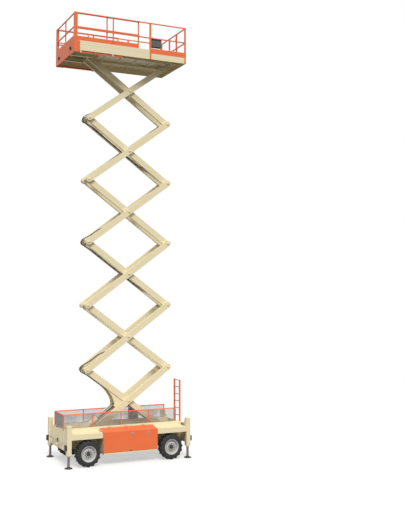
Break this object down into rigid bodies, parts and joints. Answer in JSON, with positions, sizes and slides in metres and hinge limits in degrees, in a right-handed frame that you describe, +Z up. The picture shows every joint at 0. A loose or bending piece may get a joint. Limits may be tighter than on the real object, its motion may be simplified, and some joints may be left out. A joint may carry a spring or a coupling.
{
  "type": "scissor lift",
  "caption": "Self-propelled scissor lift on four wheels, its crossed arms raised under a railed work platform, with jacks, ladder and guarded mast.",
  "frame": {"origin": "ground level at the middle of the machine", "axes": "+Z up, +X towards the ladder end, away from the steered wheels, +Y towards the machine's right"},
  "size_m": [4.47, 2.29, 14.9525],
  "materials": {
    "cream_paint": "painted, satin",
    "orange_paint": "painted, satin",
    "steel_mesh": "galvanised wire",
    "dark_steel": "painted black",
    "rubber": "matt moulded",
    "rim_paint": "painted, light grey",
    "bright_rod": "ground and plated",
    "deck_plate": "galvanised tread plate",
    "black_plastic": "moulded, matt"
  },
  "bodies": {
    "chassis": {"chassis_frame": "cream_paint", "scissor_cradle": "cream_paint", "roller_tracks": "cream_paint", "side_decks": "cream_paint", "equipment_trays": "cream_paint", "engine_block": "dark_steel", "hydraulic_tank": "dark_steel", "front_end_frame": "cream_paint", "rear_end_frame": "cream_paint", "jack_valves": "dark_steel", "guard_frame": "orange_paint", "guard_mesh": "steel_mesh", "ladder": "orange_paint", "ladder_rungs": "orange_paint", "front_axle": "dark_steel", "rear_axle": "dark_steel"},
    "steer_left": {"knuckle_left": "dark_steel"},
    "steer_right": {"knuckle_right": "dark_steel"},
    "wheel_front_left": {"rim_front_left": "rim_paint", "tyre_front_left": "rubber"},
    "wheel_front_right": {"rim_front_right": "rim_paint", "tyre_front_right": "rubber"},
    "wheel_rear_left": {"rim_rear_left": "rim_paint", "tyre_rear_left": "rubber"},
    "wheel_rear_right": {"rim_rear_right": "rim_paint", "tyre_rear_right": "rubber"},
    "tray_door_left": {"door_left": "orange_paint"},
    "tray_door_right": {"door_right": "orange_paint"},
    "leg_front_left": {"jack_front_left": "bright_rod"},
    "leg_front_right": {"jack_front_right": "bright_rod"},
    "leg_rear_left": {"jack_rear_left": "bright_rod"},
    "leg_rear_right": {"jack_rear_right": "bright_rod"},
    "barrel": {"lift_barrel": "dark_steel"},
    "rod": {"lift_rod": "bright_rod"},
    "platform": {"platform_deck": "cream_paint", "platform_rails": "orange_paint", "toe_boards": "orange_paint", "control_console": "black_plastic"},
    "extension": {"extension_deck": "deck_plate", "extension_rails": "orange_paint", "extension_frame": "orange_paint", "extension_bumpers": "rubber"},
    "gate": {"entry_gate": "orange_paint"},
    "outer_1": {"outer_arms_1": "cream_paint"},
    "inner_1": {"inner_arms_1": "cream_paint"},
    "outer_2": {"outer_arms_2": "cream_paint"},
    "inner_2": {"inner_arms_2": "cream_paint"},
    "outer_3": {"outer_arms_3": "cream_paint"},
    "inner_3": {"inner_arms_3": "cream_paint"},
    "outer_4": {"outer_arms_4": "cream_paint"},
    "inner_4": {"inner_arms_4": "cream_paint"},
    "outer_5": {"outer_arms_5": "cream_paint"},
    "inner_5": {"inner_arms_5": "cream_paint"},
    "outer_6": {"outer_arms_6": "cream_paint"},
    "inner_6": {"inner_arms_6": "cream_paint"}
  },
  "joints": [
    {"name": "steering_left", "type": "hinge", "parent": "chassis", "child": "steer_left", "pos_m": [-1.46, -0.88, 0.42], "axis": [0, 0, 1], "range_deg": [-32, 32]},
    {"name": "steering_right", "type": "hinge", "parent": "chassis", "child": "steer_right", "pos_m": [-1.46, 0.88, 0.42], "axis": [0, 0, 1], "range_deg": [-32, 32]},
    {"name": "spin_front_left", "type": "hinge", "parent": "steer_left", "child": "wheel_front_left", "pos_m": [-1.46, -0.99, 0.42], "axis": [0, 1, 0], "continuous": true},
    {"name": "spin_front_right", "type": "hinge", "parent": "steer_right", "child": "wheel_front_right", "pos_m": [-1.46, 0.99, 0.42], "axis": [0, 1, 0], "continuous": true},
    {"name": "spin_rear_left", "type": "hinge", "parent": "chassis", "child": "wheel_rear_left", "pos_m": [1.46, -0.99, 0.42], "axis": [0, 1, 0], "continuous": true},
    {"name": "spin_rear_right", "type": "hinge", "parent": "chassis", "child": "wheel_rear_right", "pos_m": [1.46, 0.99, 0.42], "axis": [0, 1, 0], "continuous": true},
    {"name": "door_hinge_left", "type": "hinge", "parent": "chassis", "child": "tray_door_left", "pos_m": [0, -0.656, 1.126], "axis": [-1, 0, 0], "range_deg": [0, 70]},
    {"name": "door_hinge_right", "type": "hinge", "parent": "chassis", "child": "tray_door_right", "pos_m": [0, 0.656, 1.126], "axis": [1, 0, 0], "range_deg": [0, 70]},
    {"name": "jack_front_left_slide", "type": "slide", "parent": "chassis", "child": "leg_front_left", "axis": [0, 0, 1], "range_m": [0, 0.3]},
    {"name": "jack_front_right_slide", "type": "slide", "parent": "chassis", "child": "leg_front_right", "axis": [0, 0, 1], "range_m": [0, 0.3]},
    {"name": "jack_rear_left_slide", "type": "slide", "parent": "chassis", "child": "leg_rear_left", "axis": [0, 0, 1], "range_m": [0, 0.3]},
    {"name": "jack_rear_right_slide", "type": "slide", "parent": "chassis", "child": "leg_rear_right", "axis": [0, 0, 1], "range_m": [0, 0.3]},
    {"name": "lift", "type": "hinge", "parent": "chassis", "child": "inner_1", "pos_m": [1.7, 0, 0.83], "axis": [0, 1, 0], "range_deg": [-32.76, 4.6]},
    {"name": "stage_1_cross", "type": "hinge", "parent": "inner_1", "child": "outer_1", "pos_m": [0.22354, 0, 1.90271], "axis": [0, 1, 0], "range_deg": [-9.4, 65.72]},
    {"name": "stage_2_pin", "type": "hinge", "parent": "inner_1", "child": "outer_2", "pos_m": [-1.25291, 0, 2.97542], "axis": [0, 1, 0], "range_deg": [-9.4, 65.72]},
    {"name": "stage_2_cross", "type": "hinge", "parent": "outer_2", "child": "inner_2", "pos_m": [0.22354, 0, 4.04812], "axis": [0, 1, 0], "range_deg": [-65.72, 9.4]},
    {"name": "stage_3_pin", "type": "hinge", "parent": "outer_2", "child": "inner_3", "pos_m": [1.7, 0, 5.12083], "axis": [0, 1, 0], "range_deg": [-65.72, 9.4]},
    {"name": "stage_3_cross", "type": "hinge", "parent": "inner_3", "child": "outer_3", "pos_m": [0.22354, 0, 6.19354], "axis": [0, 1, 0], "range_deg": [-9.4, 65.72]},
    {"name": "stage_4_pin", "type": "hinge", "parent": "inner_3", "child": "outer_4", "pos_m": [-1.25291, 0, 7.26625], "axis": [0, 1, 0], "range_deg": [-9.4, 65.72]},
    {"name": "stage_4_cross", "type": "hinge", "parent": "outer_4", "child": "inner_4", "pos_m": [0.22354, 0, 8.33896], "axis": [0, 1, 0], "range_deg": [-65.72, 9.4]},
    {"name": "stage_5_pin", "type": "hinge", "parent": "outer_4", "child": "inner_5", "pos_m": [1.7, 0, 9.41166], "axis": [0, 1, 0], "range_deg": [-65.72, 9.4]},
    {"name": "stage_5_cross", "type": "hinge", "parent": "inner_5", "child": "outer_5", "pos_m": [0.22354, 0, 10.48437], "axis": [0, 1, 0], "range_deg": [-9.4, 65.72]},
    {"name": "stage_6_pin", "type": "hinge", "parent": "inner_5", "child": "outer_6", "pos_m": [-1.25291, 0, 11.55708], "axis": [0, 1, 0], "range_deg": [-9.4, 65.72]},
    {"name": "stage_6_cross", "type": "hinge", "parent": "outer_6", "child": "inner_6", "pos_m": [0.22354, 0, 12.62979], "axis": [0, 1, 0], "range_deg": [-65.72, 9.4]},
    {"name": "platform_pin", "type": "hinge", "parent": "outer_6", "child": "platform", "pos_m": [1.7, 0, 13.7025], "axis": [0, 1, 0], "range_deg": [-32.96, 4.8]},
    {"name": "barrel_foot", "type": "hinge", "parent": "chassis", "child": "barrel", "pos_m": [-1.8, 0, 0.62], "axis": [0, 1, 0], "range_deg": [-4.82, 33.08]},
    {"name": "rod_slide", "type": "slide", "parent": "barrel", "child": "rod", "axis": [0.8174, 0, 0.5761], "range_m": [-0.6556, 0.0938]},
    {"name": "extension_slide", "type": "slide", "parent": "platform", "child": "extension", "axis": [-1, 0, 0], "range_m": [0, 1.2]},
    {"name": "gate_hinge", "type": "hinge", "parent": "platform", "child": "gate", "pos_m": [2.02, -0.314, 14.3525], "axis": [0, 0, 1], "range_deg": [0, 85]}
  ],
  "couplings": [
    {"joint": "stage_1_cross", "follows": "lift", "ratio": -2},
    {"joint": "stage_2_pin", "follows": "lift", "ratio": -2},
    {"joint": "stage_2_cross", "follows": "lift", "ratio": 2},
    {"joint": "stage_3_pin", "follows": "lift", "ratio": 2},
    {"joint": "stage_3_cross", "follows": "lift", "ratio": -2},
    {"joint": "stage_4_pin", "follows": "lift", "ratio": -2},
    {"joint": "stage_4_cross", "follows": "lift", "ratio": 2},
    {"joint": "stage_5_pin", "follows": "lift", "ratio": 2},
    {"joint": "stage_5_cross", "follows": "lift", "ratio": -2},
    {"joint": "stage_6_pin", "follows": "lift", "ratio": -2},
    {"joint": "stage_6_cross", "follows": "lift", "ratio": 2},
    {"joint": "platform_pin", "follows": "lift", "ratio": 1},
    {"joint": "barrel_foot", "follows": "lift", "ratio": -1.0036},
    {"joint": "rod_slide", "follows": "lift", "m_per_rad": 1.1431}
  ]
}
